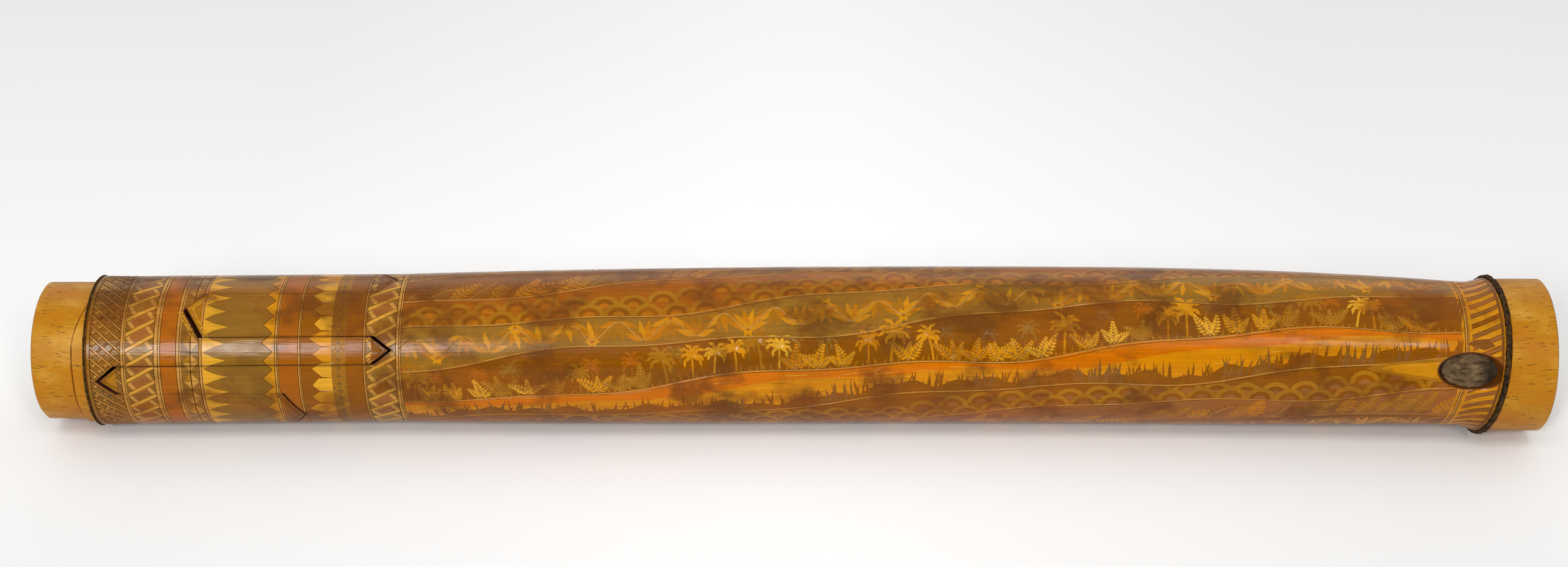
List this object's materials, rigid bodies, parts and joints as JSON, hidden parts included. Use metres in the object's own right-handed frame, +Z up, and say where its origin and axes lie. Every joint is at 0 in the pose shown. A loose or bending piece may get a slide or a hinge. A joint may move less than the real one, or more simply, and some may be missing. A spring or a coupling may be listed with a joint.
{
  "type": "bamboo letter case",
  "caption": "Long round bamboo case for rolled letters, engraved all over, with a lid whose pointed tongues slide between those of the body.",
  "frame": {"origin": "under the middle of the case's box, on the surface that the case lies on", "axes": "+X along the culm from the lid to the foot, +Z up, -Y towards the front with the branch scar"},
  "size_m": [0.4696, 0.0552, 0.051],
  "materials": {
    "engraved_skin": "oiled and polished bamboo skin, engraved and stained brown",
    "sleeve_wood": "bare scraped bamboo",
    "sheath_cork": "dry corky sheath scar",
    "branch_scar": "weathered end grain"
  },
  "bodies": {
    "case_body": {"body_culm": "engraved_skin", "inner_sleeve": "sleeve_wood", "foot_sheath_ring": "sheath_cork", "branch_stub": "branch_scar"},
    "lid": {"lid_culm": "engraved_skin", "lid_sheath_ring": "sheath_cork"}
  },
  "joints": [
    {"name": "lid_slide", "type": "slide", "parent": "case_body", "child": "lid", "axis": [-0.9998, -0.0215, -0.0034], "range_m": [0, 0.1]}
  ]
}
